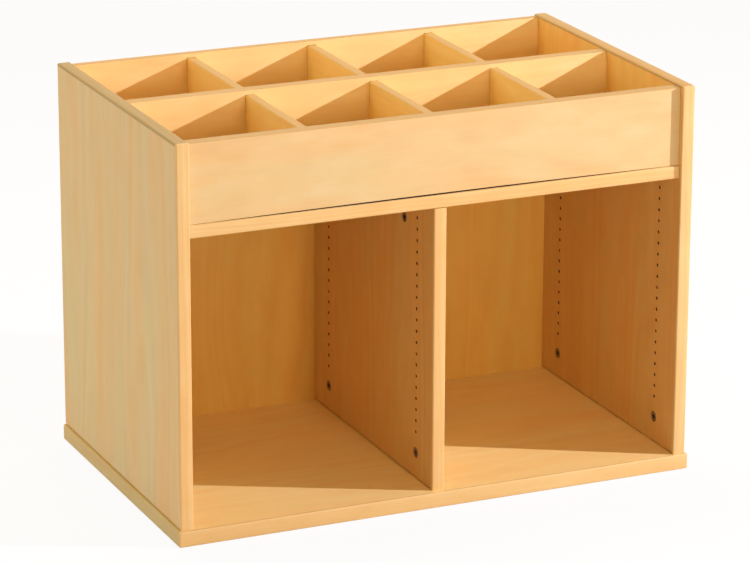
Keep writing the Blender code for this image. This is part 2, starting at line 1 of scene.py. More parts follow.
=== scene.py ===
"""Looks of a paper storage cabinet: eight open bins over two open bays, in lacquered maple veneer.

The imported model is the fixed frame. The script dresses its boards in veneer, faces its cams, and replaces the edge
bands, the drilled uprights, the bins' front board, the bolts and the dowels by finer pieces in the same places.
Metres, +Z up, front at -Y.
"""

import json
import math

import bmesh
import bpy
import numpy as np
from bpy.props import FloatProperty, FloatVectorProperty, PointerProperty
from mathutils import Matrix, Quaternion, Vector


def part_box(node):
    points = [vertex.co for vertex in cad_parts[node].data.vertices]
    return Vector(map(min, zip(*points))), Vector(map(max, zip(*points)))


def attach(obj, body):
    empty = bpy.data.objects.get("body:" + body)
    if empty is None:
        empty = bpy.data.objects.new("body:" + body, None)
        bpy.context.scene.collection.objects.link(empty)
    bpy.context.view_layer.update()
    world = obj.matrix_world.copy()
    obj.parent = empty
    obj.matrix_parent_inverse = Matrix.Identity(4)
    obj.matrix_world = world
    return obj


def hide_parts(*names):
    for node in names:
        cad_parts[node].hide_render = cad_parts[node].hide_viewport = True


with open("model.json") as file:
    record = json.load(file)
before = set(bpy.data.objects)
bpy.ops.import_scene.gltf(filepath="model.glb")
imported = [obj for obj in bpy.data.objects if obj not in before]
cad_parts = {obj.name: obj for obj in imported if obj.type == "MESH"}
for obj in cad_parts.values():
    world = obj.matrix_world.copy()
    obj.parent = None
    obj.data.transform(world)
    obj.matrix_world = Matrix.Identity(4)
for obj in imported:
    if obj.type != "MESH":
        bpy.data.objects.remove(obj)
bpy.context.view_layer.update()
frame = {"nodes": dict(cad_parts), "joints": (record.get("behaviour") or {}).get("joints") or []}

bl_info = {
    "name": "Paper storage cabinet",
    "version": (1, 0, 0),
    "blender": (4, 5, 0),
    "location": "View3D > Sidebar > Cabinet",
    "description": "Veneer, edge bands, drilled uprights, fittings and studio of a paper storage cabinet",
    "category": "Object",
}

MM = 0.001
AXES = {"x": 0, "y": 1, "z": 2}
UPRIGHTS = ("left_side", "right_side", "centre_partition")
ENDS = ("front", "rear")
CARCASS = "carcass"

# Figures of the veneer: the strength of its light and dark, how far that is striped (1) rather than cloudy (0),
# and the strength of its rosy and olive blots
OUTER_FIGURE = (1.2, 1.0, 0.7)
INNER_FIGURE = (1.0, 0.8, 0.3)
BASE_FIGURE = (0.6, 0.8, 0.2)
BACK_FIGURE = (1.1, 0.8, 0.33)
BIN_FIGURE = (0.8, 0.6, 0.25)
FRONT_FIGURE = (1.1, 0.35, 0.35)
BAND_FIGURE = (0.8, 1.0, 0.25)

# Maple's pattern: length along the grain and width across it of each kind of blot
WANDER = (550 * MM, 110 * MM)    # slow wander of the growth bands
CLOUD = (60 * MM, 24 * MM)       # cloudy shimmer
BLOT = (140 * MM, 60 * MM)       # rosy and olive blots in a cloudy leaf
BLOT_STRETCH = 360 * MM          # added to a blot's length in a striped leaf
FIBRE_LENGTH = 70 * MM
FLECK_WIDTH = 0.9 * MM
WANDER_BANDS = 9.0               # growth bands by which the wander shifts the level lines

# Weights of the pattern's parts in a leaf's light and dark, and the spans of noise in which two of them show
GROWTH_WEIGHT = 0.9
FIBRE_WEIGHT = 0.22
CLOUD_WEIGHT = 0.8
FLECK_WEIGHT = 0.3
BLOT_SPAN = (0.35, 0.65)
FLECK_SPAN = (0.62, 0.76)
MOTTLE_SPAN = (0.3, 0.7)         # span of any fine noise that sets a gloss

# Grain of the other materials
CHIP = 1.6 * MM
CASTING_MOTTLE = 0.9 * MM
TURNING_MARK = 0.5 * MM
BEECH_RAY = (12 * MM, 0.7 * MM)  # length and width

# Places of the leaves in the pattern, by number; the boards that keep their solids come first, from 1
FIRST_UPRIGHT_LEAF = 20
INSIDE_LEAVES = 10               # from the leaf on an upright's outside to the one on its inside
FRONT_BOARD_LEAF = 30
FIRST_BAND_LEAF = 40

# Veneer leaves: the way of the grain, the leaf's tone among the settings, and its figure
LEAVES = {
    "base_panel": ("x", "base_leaf", BASE_FIGURE),
    "bin_floor": ("x", "inner_leaf", BIN_FIGURE),
    "bin_middle_board": ("x", "bin_leaf", BIN_FIGURE),
    "bin_back_board": ("x", "bin_leaf", BIN_FIGURE),
    "bin_divider_1": ("y", "divider_leaf", BIN_FIGURE),
    "bin_divider_2": ("y", "divider_leaf", BIN_FIGURE),
    "bin_divider_3": ("y", "divider_leaf", BIN_FIGURE),
    "lower_back_panel": ("z", "back_leaf", BACK_FIGURE),
}

# Edge bands: the axis along the band, the way it faces, its tone, and how it starts and stops along that axis
BANDS = {
    "base_front_band": ("x", "-y", "band_leaf", "domed", "domed"),
    "base_left_band": ("y", "-x", "foot_leaf", "glued", "eased"),
    "base_right_band": ("y", "+x", "foot_leaf", "glued", "eased"),
    "left_side_front_band": ("z", "-y", "band_leaf", "square", "domed"),
    "left_side_top_band": ("y", "+z", "left_top_shaded_leaf", "glued", "eased"),
    "right_side_front_band": ("z", "-y", "band_leaf", "square", "domed"),
    "right_side_top_band": ("y", "+z", "right_top_shaded_leaf", "glued", "eased"),
    "partition_front_band": ("z", "-y", "band_leaf", "square", "square"),
    "bin_floor_front_band": ("x", "-y", "band_leaf", "square", "square"),
}
BAND_GROWTH = 5 * MM             # width of the growth bands in the solid edge bands
BAND_STEPS = 6                   # steps round a band's rounded edge

# Joints, drilled holes and housings
GLUE_LINE = 0.3 * MM             # gap in the frame between a band and its board, closed here by the glue
SEAM_CLOSED = 0.05 * MM          # least gap between the bins' front board and the bin floor
SEAM_INSET = 0.1 * MM            # inset of the near-black strip of painted shade under that board from the board's faces
PIN_PITCH = 16 * MM
PIN_ABOVE_CAM = 30 * MM          # lowest pin hole above the foot cams
PIN_COUNT = 20
HOLE_CELL = 8 * MM               # half of the square that each hole takes in its face
HOLE_STEPS = 6                   # grid steps along that square
HOLE_EASING = 0.05 * MM          # broken edge of a drilled hole
CAM_CLEARANCE = 0.3 * MM
CAM_BORE_DEPTH = 13 * MM
HOUSING_DEPTH = 4 * MM           # housings in the sides for the ends of the long bin boards
BACK_GROOVE_DEPTH = 6 * MM       # groove in the sides for the lower back panel
JOINT_GAP = 0.3 * MM             # clearance round a board in its housing
WALL_LEAN = 0.02 * MM            # lean of a housing's walls, which keeps them on the grid

LINE_DIGITS = 7                  # grid lines are one where they agree to a tenth of a micrometre
SAME_POINT = 0.002 * MM          # points as close as this are one
SHARP_EDGE = math.radians(35)    # edges that turn by more than this are shaded sharp
FOOT_GAP = 0.8 * MM              # gap under an upright's foot, besides the frame's own, which shows as a dark line
BAND_FOOT = 0.25 * MM            # further reach down of the uprights' front bands, which show no such line
REAR_FACE = 0.5 * MM             # depth of the veneer on the rear faces of the back boards
TOP_BAND_T = 0.6 * MM            # edge band on the top edges of the bins' boards, in a darker tone that is painted shade
TOP_BAND_FIBRE = 0.25            # share of the fibres' dark in that band

# Materials of an upright by number: its outside and edges, drilled board, its inside, and its inside in the bins, a
# lighter copy of the inside that is painted light
OUTSIDE, DRILLED, INSIDE, IN_BINS = range(4)

# Front board of the bins: its tongues in the sides and the grooves for the dividers
TONGUE_LENGTH = 4 * MM
TONGUE_TOP = 533 * MM
TONGUE_EASE = 0.05 * MM
FRONT_STATIONS = 41              # sections along the board besides those at its grooves
FRONT_STEPS = 4                  # steps round its top edges
GROOVE_HALF = 6.8 * MM
GROOVE_DEPTH = 4 * MM
GROOVE_TOP = 541.3 * MM

# Cam faces: share of the way from the cross to the rim, and depth under the board's face in millimetres
CAM_FACE_RINGS = np.array([(0, 0.5), (0, 0.2), (0.06, 0.06), (0.60, 0.06), (0.64, 0.22), (0.72, 0.22),
                           (0.76, 0.06), (0.95, 0.06), (1, 0.2), (1, 0.5)])
CAM_FACE_SIDES = 96
CROSS_LONG = 3.6 * MM            # half-length of the cross's arms
CROSS_SHORT = 1.5 * MM           # half-width of the cross's arms
NOTCH_DEPTH = 0.9 * MM
NOTCH_HALF = 0.16                # half of the notch's width as an angle
LEAST_SLOPE = 1e-6               # keeps the reach of the cross finite along its arms

# Connecting bolts: thread, then place and radius in millimetres of the plain rows from shank to head
THREAD_LENGTH = 11 * MM
THREAD_PITCH = 1.9 * MM
THREAD_ROOT = 2.0 * MM
THREAD_CREST = 2.9 * MM
THREAD_ROWS = 71
THREAD_STEEPNESS = 1.6           # of the flanks, over those of a plain zigzag
THREAD_ROOT_FLAT = 0.4           # cut off the zigzag at the root
POINT_CREST = 0.15               # share of the crest at the bolt's point
POINT_ROOT = 0.6                 # share of the root's radius at the bolt's point
BOLT_SIDES = 24
BOLT_PROFILE = np.array([(11.0, 2.0), (11.0, 3.2), (11.3, 3.5), (39.75, 3.5), (40.05, 3.2), (40.05, 1.7),
                         (43.4, 1.7), (43.4, 2.7), (43.9, 3.1), (45.9, 3.1), (46.8, 2.2)])
# Way along the axis from a bolt's thread to its head, by the start of its name
BOLT_WAYS = {"base": 1, "partition": -1, "bin_floor_bolt_left": 1, "bin_floor_bolt_right": -1}

DOWEL_SIDES = 80
DOWEL_CHAMFER = 1.2 * MM         # length of the chamfer along the dowel
CHAMFER_DROP = 0.72 * MM         # fall of the radius over the chamfer
FLUTE_START = 1.8 * MM           # distance from an end at which a flute has its depth
FLUTES = 20
FLUTE_DEPTH = 0.35 * MM


def linear(hex_colour):
    """Linear RGB of an sRGB hex colour."""
    coded = np.array([int(hex_colour[place:place + 2], 16) for place in (1, 3, 5)]) / 255
    light = np.where(coded <= 0.04045, coded / 12.92, ((coded + 0.055) / 1.055) ** 2.4)
    return tuple(float(part) for part in light)


def colour_setting(name, description, shade):
    """A colour among the settings, from sRGB hex."""
    return FloatVectorProperty(name=name, description=description, subtype='COLOR', min=0, max=1,
                               default=linear(shade))


def length_setting(name, description, metres):
    """A length among the settings."""
    return FloatProperty(name=name, description=description, unit='LENGTH', default=metres)


def power_setting(name, description, watts):
    """A lamp's power among the settings."""
    return FloatProperty(name=name, description=description, unit='POWER', default=watts)


class VeneerSettings(bpy.types.PropertyGroup):
    """Colours and figure of the maple."""

    pale: colour_setting("Pale wood", "Early wood between the growth bands", "#F8D088")
    warm: colour_setting("Warm wood", "Main tone of the leaf", "#F4C374")
    dark: colour_setting("Dark wood", "Late wood and ray flecks", "#EDB265")
    rosy: colour_setting("Rosy cast", "Long blots of a redder wood", "#FBBC67")
    olive: colour_setting("Olive cast", "Long blots of a greyer wood", "#ECCA80")
    outer_leaf: colour_setting("Outer faces", "Mean tone of the sides' outer faces", "#D4B879")
    inner_leaf: colour_setting("Inner faces", "Mean tone of the bays' upright faces and the bin floor", "#DBB167")
    front_leaf: colour_setting("Front board", "Mean tone of the bins' front board", "#D3BA82")
    band_leaf: colour_setting("Front bands", "Mean tone of the edge bands at the front", "#DBB876")
    foot_leaf: colour_setting("Base side bands", "Mean tone of the base's bands at the sides", "#C7AD65")
    # The top bands' darker tones below are painted shade on the upward faces
    left_top_shaded_leaf: colour_setting("Left top band", "Mean tone of the band on top of the left side", "#A78B45")
    right_top_shaded_leaf: colour_setting("Right top band", "Mean tone of the band on top of the right side", "#BD974B")
    # The sides' faces in the bins take a lighter copy of the inner leaf: painted light
    bin_side_painted_light_leaf: colour_setting("Bin ends", "Mean tone of the sides' faces inside the bins", "#ECC164")
    base_leaf: colour_setting("Base", "Mean tone of the base panel", "#F6DA90")
    bin_leaf: colour_setting("Bin boards", "Mean tone of the bins' middle and back boards", "#EED18F")
    divider_leaf: colour_setting("Dividers", "Mean tone of the bins' dividers", "#F4D276")
    back_leaf: colour_setting("Lower back", "Mean tone of the lower back panel", "#D9AD4C")
    rear_leaf: colour_setting("Rear faces", "Mean tone of the back boards' rear faces", "#E4C17C")
    # Darker tone of the top edges: painted shade
    top_band: colour_setting("Top edges", "Edge band on the top edges of the bins' boards", "#B8954D")
    band_width: length_setting("Growth bands", "Width of one growth band across the grain", 18 * MM)
    fibre_width: length_setting("Fibres", "Width of a fibre streak across the grain", 1.3 * MM)
    fleck_length: length_setting("Flecks", "Length of a ray fleck along the grain", 9 * MM)


class PieceSettings(bpy.types.PropertyGroup):
    """Sizes of the finer pieces."""

    band_radius: length_setting("Band rounding", "Radius of the edge bands' outer edges", 2.2 * MM)
    post_radius: length_setting("Post rounding", "Radius of the uprights' front bands", 1.7 * MM)
    board_radius: length_setting("Board rounding", "Radius of the front board's top edges", 1.0 * MM)
    apron_bow: length_setting("Front board's bow", "Rise of its lower edge in the middle", 1.9 * MM)
    arris: length_setting("Arris", "Width of the sanded edge of an upright", 0.8 * MM)
    pin_diameter: length_setting("Pin holes", "Diameter of the holes for shelf pins", 4.6 * MM)
    pin_depth: length_setting("Pin hole depth", "Depth of the holes for shelf pins", 7.5 * MM)


class StageSettings(bpy.types.PropertyGroup):
    """Camera and lamps."""

    key_power: power_setting("Key lamp", "Power of the lamp at the right front", 206)
    key_colour: colour_setting("Key colour", "Colour of the key lamp", "#F6EFFF")
    fill_power: power_setting("Left fill", "Power of the soft panel at the left", 21.3)
    front_power: power_setting("Front fill", "Power of the low soft panel at the front", 54)
    front_colour: colour_setting("Front colour", "Colour of the front panel", "#FFE0BC")
    top_power: power_setting("Top fill", "Power of the soft panel overhead", 46)
    top_colour: colour_setting("Top colour", "Colour of the overhead panel", "#FFEBD2")
    ambient: FloatProperty(name="Ambient", description="Strength of the even light from all round", default=0.42)
    ambient_colour: colour_setting("Ambient colour", "Colour of the even light", "#FFD9B8")
    key_azimuth: FloatProperty(name="Key azimuth", description="Key lamp to the right of the front",
                               subtype='ANGLE', default=math.radians(60))
    key_elevation: FloatProperty(name="Key elevation", description="Key lamp above the level", subtype='ANGLE',
                                 default=math.radians(21))
    lens: FloatProperty(name="Lens", description="Focal length in millimetres on a 36 mm sensor", default=180.7)


# A Mix node's sockets for colours, by number, since their names repeat: the share, both colours and the result
SHARE, FIRST, SECOND, MIXED = 0, 6, 7, 2


def set_inputs(tree, node, inputs):
    """Set or link a node's sockets, from a dict by socket or from a sequence in their order.

    A value that is itself a node stands for that node's first output.
    """
    for key, value in inputs.items() if isinstance(inputs, dict) else enumerate(inputs):
        source = value.outputs[0] if isinstance(value, bpy.types.Node) else value
        if isinstance(source, bpy.types.NodeSocket):
            tree.links.new(source, node.inputs[key])
        else:
            node.inputs[key].default_value = source


def add(tree, kind, inputs=(), **settings):
    """Add a node with its settings, and with inputs as set_inputs takes them."""
    node = tree.nodes.new(kind)
    for name, value in settings.items():
        setattr(node, name, value)
    set_inputs(tree, node, inputs)
    return node


def new_material(name):
    """A material with its tree and its Principled shader."""
    material = bpy.data.materials.new(name)
    material.use_nodes = True
    tree = material.node_tree
    return material, tree, tree.nodes["Principled BSDF"]


# Turns that lay a board's grain along the pattern's own X
GRAIN_TURN = {"x": (0, 0, 0), "y": (0, 0, -math.pi / 2), "z": (0, math.pi / 2, 0)}
LEAF_STEP = Vector((0.83, 0.37, 0.59))   # metres between the leaves of neighbouring boards in the pattern


def drawn_noise(tree, place, length, width, detail):
    """Noise drawn out along the grain, in blots of a length and a width in metres."""
    stretched = add(tree, "ShaderNodeMapping", {"Vector": place, "Scale": (1 / length, 1 / width, 1 / width)})
    return add(tree, "ShaderNodeTexNoise", {"Vector": stretched, "Scale": 1.0, "Detail": detail})


def weighted_sum(tree, terms, start):
    """A start value plus each signal, centred on a half, times its weight."""
    total = start
    for signal, weight in terms:
        centred = add(tree, "ShaderNodeMath", (signal, 0.5), operation='SUBTRACT')
        total = add(tree, "ShaderNodeMath", (centred, weight, total), operation='MULTIPLY_ADD')
    return total


def beyond(tree, coords, axis, place):
    """1 where a coordinate is larger than a place in metres, and 0 elsewhere."""
    split = add(tree, "ShaderNodeSeparateXYZ", (coords,))
    return add(tree, "ShaderNodeMath", (split.outputs[axis], place), operation='GREATER_THAN')


def lacquered_maple(name, grain, tone, leaf, figure, band=None, shaded_top_from=None, backed_from=None):
    """Maple veneer, sliced from the log, glued to board, sanded and lacquered satin.

    The eye gets soft growth bands that wander along the leaf, long rosy and olive blots, fine fibre streaks, short
    ray flecks and a cloudy shimmer under a smooth coat. The bands are level lines of a height that rises across the
    grain and wanders slowly along it. Each colour is scaled by the leaf's mean tone over the warm wood. Flecks and
    fibres are drawn about twice as coarse as real ones, so that they show.
    """
    look = bpy.context.scene.cabinet_veneer
    contrast, stripe, tint = figure
    gain = np.array(getattr(look, tone)) / np.array(look.warm)
    colours = np.array([look.dark, look.warm, look.pale, look.rosy, look.olive]) * gain
    dark, warm, pale, rosy, olive = ((*colour, 1) for colour in np.minimum(colours, 1).tolist())
    material, tree, shader = new_material(name)
    coords = add(tree, "ShaderNodeTexCoord").outputs["Object"]
    place = add(tree, "ShaderNodeMapping", {"Vector": coords, "Rotation": GRAIN_TURN[grain],
                                            "Location": LEAF_STEP * leaf})
    split = add(tree, "ShaderNodeSeparateXYZ", (place,)).outputs
    across = add(tree, "ShaderNodeMath", (split["Y"], split["Z"]), operation='ADD')
    wander = drawn_noise(tree, place, *WANDER, 1.0)
    rise = add(tree, "ShaderNodeMath", (across, band or look.band_width), operation='DIVIDE')
    level = add(tree, "ShaderNodeMath", (wander, WANDER_BANDS, rise), operation='MULTIPLY_ADD')
    growth = add(tree, "ShaderNodeTexNoise", {"W": level, "Scale": 1.0, "Detail": 1.0}, noise_dimensions='1D')
    fibre = drawn_noise(tree, place, FIBRE_LENGTH, look.fibre_width, 2.0)
    cloud = drawn_noise(tree, place, *CLOUD, 2.0)
    shade = weighted_sum(tree, [(growth, GROWTH_WEIGHT * contrast * stripe), (fibre, FIBRE_WEIGHT * contrast),
                                (cloud, CLOUD_WEIGHT * contrast)], 0.5)
    ramp = add(tree, "ShaderNodeValToRGB", (shade,))
    stops = ramp.color_ramp.elements
    stops[0].position, stops[0].color = 0.1, dark
    stops[1].position, stops[1].color = 0.9, pale
    stops.new(0.5).color = warm
    blot = drawn_noise(tree, place, BLOT[0] + BLOT_STRETCH * stripe, BLOT[1], 2.0)
    greyer = add(tree, "ShaderNodeMapRange", (blot, *BLOT_SPAN, 0.0, 1.0))
    cast = add(tree, "ShaderNodeMix", {SHARE: greyer, FIRST: rosy, SECOND: olive}, data_type='RGBA').outputs[MIXED]
    tinted = add(tree, "ShaderNodeMix", {SHARE: tint, FIRST: ramp, SECOND: cast},
                 data_type='RGBA').outputs[MIXED]
    fleck = drawn_noise(tree, place, look.fleck_length, FLECK_WIDTH, 1.0)
    shown = add(tree, "ShaderNodeMapRange", (fleck, *FLECK_SPAN, 0.0, FLECK_WEIGHT * contrast))
    wood = add(tree, "ShaderNodeMix", {SHARE: shown, FIRST: tinted, SECOND: dark}, data_type='RGBA').outputs[MIXED]
    if backed_from is not None:
        behind = beyond(tree, coords, "Y", backed_from)
        change = np.array(look.rear_leaf) / np.array(getattr(look, tone))
        wood = add(tree, "ShaderNodeMix", {SHARE: behind, FIRST: wood, SECOND: (*change.tolist(), 1)},
                   data_type='RGBA', blend_type='MULTIPLY').outputs[MIXED]
    # The bins' boards get a darker band on their top faces. The band is real, but its darkness is painted shade.
    if shaded_top_from is not None:
        above = beyond(tree, coords, "Z", shaded_top_from)
        plain = (*look.top_band, 1)
        streaked = add(tree, "ShaderNodeMix", {SHARE: fibre, FIRST: plain, SECOND: dark},
                       data_type='RGBA').outputs[MIXED]
        edge = add(tree, "ShaderNodeMix", {SHARE: TOP_BAND_FIBRE, FIRST: plain, SECOND: streaked},
                   data_type='RGBA').outputs[MIXED]
        wood = add(tree, "ShaderNodeMix", {SHARE: above, FIRST: wood, SECOND: edge},
                   data_type='RGBA').outputs[MIXED]
    gloss = add(tree, "ShaderNodeMapRange", (fibre, *MOTTLE_SPAN, 0.60, 0.50))
    relief = add(tree, "ShaderNodeBump", {"Height": fibre, "Strength": 0.12, "Distance": 0.1 * MM})
    set_inputs(tree, shader, {"Base Color": wood, "Roughness": gloss, "Normal": relief,
                              "IOR": 1.5, "Coat Weight": 0.1, "Coat Roughness": 0.35})
    return material


def chipboard_or_painted_shade(name, dark, light):
    """Chipboard that a drill or saw has cut: brown, rough, with pale and dark chips a millimetre or two across.
    Given near-black shades, the same pattern is painted shade in the bins' seam.
    """
    material, tree, shader = new_material(name)
    coords = add(tree, "ShaderNodeTexCoord").outputs["Object"]
    chips = add(tree, "ShaderNodeTexVoronoi", {"Vector": coords, "Scale": 1 / CHIP})
    shade = add(tree, "ShaderNodeSeparateColor", (chips.outputs["Color"],))
    ramp = add(tree, "ShaderNodeValToRGB", (shade,))
    stops = ramp.color_ramp.elements
    stops[0].color = (*linear(dark), 1)
    stops[1].color = (*linear(light), 1)
    set_inputs(tree, shader, {"Base Color": ramp, "Roughness": 0.9})
    return material


def cast_zinc(name, dark, light, rough, smooth):
    """Die-cast zinc: a dull metal with the faint mottle of the casting, about a millimetre across.

    The drum is left as cast, which is dark, and the face is ground and nickel plated, which is bright and satin.
    """
    material, tree, shader = new_material(name)
    coords = add(tree, "ShaderNodeTexCoord").outputs["Object"]
    mottle = add(tree, "ShaderNodeTexNoise", {"Vector": coords, "Scale": 1 / CASTING_MOTTLE, "Detail": 2.0})
    ramp = add(tree, "ShaderNodeValToRGB", (mottle,))
    stops = ramp.color_ramp.elements
    stops[0].position, stops[0].color = 0.3, (*linear(dark), 1)
    stops[1].position, stops[1].color = 0.75, (*linear(light), 1)
    gloss = add(tree, "ShaderNodeMapRange", (mottle, *MOTTLE_SPAN, smooth, rough))
    relief = add(tree, "ShaderNodeBump", {"Height": mottle, "Strength": 0.2, "Distance": 0.05 * MM})
    set_inputs(tree, shader, {"Base Color": ramp, "Metallic": 1.0, "Roughness": gloss,
                              "Normal": relief})
    return material


def plated_steel():
    """Rolled steel with bright zinc plating: pale metal with fine turning marks."""
    material, tree, shader = new_material("rolled_steel_zinc_plated")
    coords = add(tree, "ShaderNodeTexCoord").outputs["Object"]
    marks = add(tree, "ShaderNodeTexNoise", {"Vector": coords, "Scale": 1 / TURNING_MARK, "Detail": 2.0})
    ramp = add(tree, "ShaderNodeValToRGB", (marks,))
    stops = ramp.color_ramp.elements
    stops[0].position, stops[0].color = 0.3, (*linear("#A9ABAE"), 1)
    stops[1].position, stops[1].color = 0.7, (*linear("#C9CACC"), 1)
    gloss = add(tree, "ShaderNodeMapRange", (marks, *MOTTLE_SPAN, 0.25, 0.4))
    set_inputs(tree, shader, {"Base Color": ramp, "Metallic": 1.0, "Roughness": gloss})
    return material


def turned_beech(grain):
    """Bare beech, turned and fluted: pinkish brown, matt, with short dark rays along the grain."""
    material, tree, shader = new_material(f"turned_beech_along_{grain}")
    coords = add(tree, "ShaderNodeTexCoord").outputs["Object"]
    place = add(tree, "ShaderNodeMapping", {"Vector": coords, "Rotation": GRAIN_TURN[grain]})
    fibre = drawn_noise(tree, place, *BEECH_RAY, 2.0)
    ramp = add(tree, "ShaderNodeValToRGB", (fibre,))
    stops = ramp.color_ramp.elements
    stops[0].position, stops[0].color = 0.3, (*linear("#B98A5C"), 1)
    stops[1].position, stops[1].color = 0.6, (*linear("#DDB98C"), 1)
    relief = add(tree, "ShaderNodeBump", {"Height": fibre, "Strength": 0.2, "Distance": 0.1 * MM})
    set_inputs(tree, shader, {"Base Color": ramp, "Roughness": 0.7, "Normal": relief})
    return material


def make_piece(name, points, faces, body, materials, marks=None):
    """A closed piece from points in the frame and faces; marks give each face its material."""
    mesh = bpy.data.meshes.new(name)
    mesh.from_pydata(np.asarray(points).tolist(), [], faces)
    for material in materials:
        mesh.materials.append(material)
    if marks is not None:
        mesh.polygons.foreach_set("material_index", np.asarray(marks, np.int32))
    bm = bmesh.new()
    bm.from_mesh(mesh)
    bmesh.ops.remove_doubles(bm, verts=bm.verts, dist=SAME_POINT)
    bmesh.ops.delete(bm, geom=[point for point in bm.verts if not point.link_faces], context='VERTS')
    bmesh.ops.recalc_face_normals(bm, faces=bm.faces)
    bm.to_mesh(mesh)
    bm.free()
    mesh.shade_smooth()
    mesh.set_sharp_from_angle(angle=SHARP_EDGE)
    piece = bpy.data.objects.new(name, mesh)
    bpy.context.scene.collection.objects.link(piece)
    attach(piece, body)
    return piece


def between_rings(first, second):
    """Quads between two closed rings of as many points."""
    return np.stack([first, np.roll(first, -1), np.roll(second, -1), second], 1).tolist()


def capped_tube(points):
    """Points in one row, and the faces of a tube through rows of closed rings, capped at both ends."""
    rings = np.arange(points[..., 0].size).reshape(points.shape[:2])
    faces = [face for pair in zip(rings, rings[1:]) for face in between_rings(*pair)]
    return points.reshape(-1, 3), faces + [rings[0].tolist(), rings[-1].tolist()]


def swept_band(low, high, along, facing, start, stop, radius):
    """Points and faces of an edge band: a rectangle with two rounded outer corners, carried along an axis.

    Each point is a corner of an inner rectangle plus the radius times a unit offset, which makes a quarter turn at
    each outer corner. Towards a domed end the offset shrinks as a cosine while the section goes on as a sine, so
    the end is rounded by the same radius. Towards an eased end only the outward part shrinks.
    """
    low, high = np.array(low), np.array(high)
    run, out = AXES[along], AXES[facing[1]]
    across = 3 - run - out
    sign = 1 if facing[0] == "+" else -1
    inner, outer = (low[out] - GLUE_LINE, high[out]) if sign > 0 else (high[out] + GLUE_LINE, low[out])
    turn = np.linspace(0, math.pi / 2, BAND_STEPS + 1)
    offset_u = np.concatenate([[-1], -np.cos(turn), np.sin(turn), [1]])
    offset_v = np.concatenate([[0], np.sin(turn), np.cos(turn), [0]])
    half = len(offset_u) // 2
    core_u = np.repeat([low[across] + radius, high[across] - radius], half)
    core_v = np.full(2 * half, outer - sign * radius)
    core_v[[0, -1]] = inner

    def end_stations(kind, place, way):
        """Places, lateral shares and outward shares of the sections at one end, from the end inwards."""
        if kind == "glued":
            return [place - way * GLUE_LINE], [1], [1]
        if kind == "square":
            return [place], [1], [1]
        rise = turn[::-1]
        lateral = np.cos(rise) if kind == "domed" else np.ones_like(rise)
        return place + way * radius * (1 - np.sin(rise)), lateral, np.cos(rise)

    first = [np.asarray(part, float) for part in end_stations(start, low[run], 1)]
    last = [np.asarray(part, float)[::-1] for part in end_stations(stop, high[run], -1)]
    places, lateral, outward = (np.concatenate(pair) for pair in zip(first, last))
    points = np.empty((len(places), 2 * half, 3))
    points[..., run] = places[:, None]
    points[..., across] = core_u + radius * lateral[:, None] * offset_u
    points[..., out] = core_v + sign * radius * outward[:, None] * offset_v
    return capped_tube(points)


def apron_board(low, high, rest, grooves, radius, bow):
    """Points and faces of the bins' front board: a section with two rounded top corners, carried along X.

    The lower edge all but touches the bin floor at the ends, and rises from it towards the middle by the bow times
    one less the square of the place over the half-length. The section's back steps in where a divider's groove
    passes. Beyond the shoulders the section has a tongue's height, and is a little smaller all round.
    """
    half = high.x
    shoulder = half - TONGUE_LENGTH
    plain = np.linspace(-shoulder, shoulder, FRONT_STATIONS)
    plain = plain[np.abs(np.subtract.outer(plain, grooves)).min(1) > GROOVE_HALF]
    edges = np.add.outer(grooves, GROOVE_HALF * np.array([-1, -1, 1, 1])).ravel()
    places = np.concatenate([[-half, -shoulder], plain, edges, [shoulder, half]])
    grooved = np.concatenate([[0, 0], 0 * plain, np.tile([0, 1, 1, 0], len(grooves)), [0, 0]])
    tongue = np.concatenate([[1, 1], 0 * plain, 0 * edges, [1, 1]])
    order = np.argsort(places, kind="stable")
    places, grooved, tongue = (part[order][:, None] for part in (places, grooved, tongue))
    ease = TONGUE_EASE * tongue
    front, rear = low.y + ease, high.y - ease
    top = np.where(tongue > 0, TONGUE_TOP, high.z)
    foot = rest + bow * (1 - (places / half) ** 2) + ease
    stop = np.minimum(GROOVE_TOP, top - 2 * radius)
    back = rear - GROOVE_DEPTH * grooved
    turn = np.linspace(0, math.pi / 2, FRONT_STEPS + 1)
    section_y = np.hstack([front, front + radius * (1 - np.cos(turn)), rear - radius * (1 - np.sin(turn)),
                           rear, back, back, rear - GROOVE_DEPTH])
    section_z = np.hstack([foot, top - radius * (1 - np.sin(turn)), top - radius * (1 - np.cos(turn)),
                           stop, stop, foot, foot])
    return capped_tube(np.stack([np.broadcast_to(places, section_y.shape), section_y, section_z], -1))


def block_outline(top, bottom, left, right, width):
    """Indices once round a block of a grid that has the given number of points in a row."""
    down = np.concatenate([np.full(right - left, top), np.arange(top, bottom),
                           np.full(right - left, bottom), np.arange(bottom, top, -1)])
    over = np.concatenate([np.arange(left, right), np.full(bottom - top, right),
                           np.arange(right, left, -1), np.full(bottom - top, left)])
    return down * width + over


def grid_lines(low, high, arris, centres, spans):
    """Lines of a face's grid: its outline, its arris, the steps across each hole and the walls of each housing."""
    steps = np.linspace(-HOLE_CELL, HOLE_CELL, HOLE_STEPS + 1)
    walls = np.array(spans).reshape(-1, 2)[:, :, None] + np.array([(0, WALL_LEAN), (-WALL_LEAN, 0)])
    walls = walls[(walls > low) & (walls < high)]
    lines = [[low, low + arris, high - arris, high], (np.array(centres)[:, None] + steps).ravel(), walls]
    return np.unique(np.round(np.concatenate(lines), LINE_DIGITS))


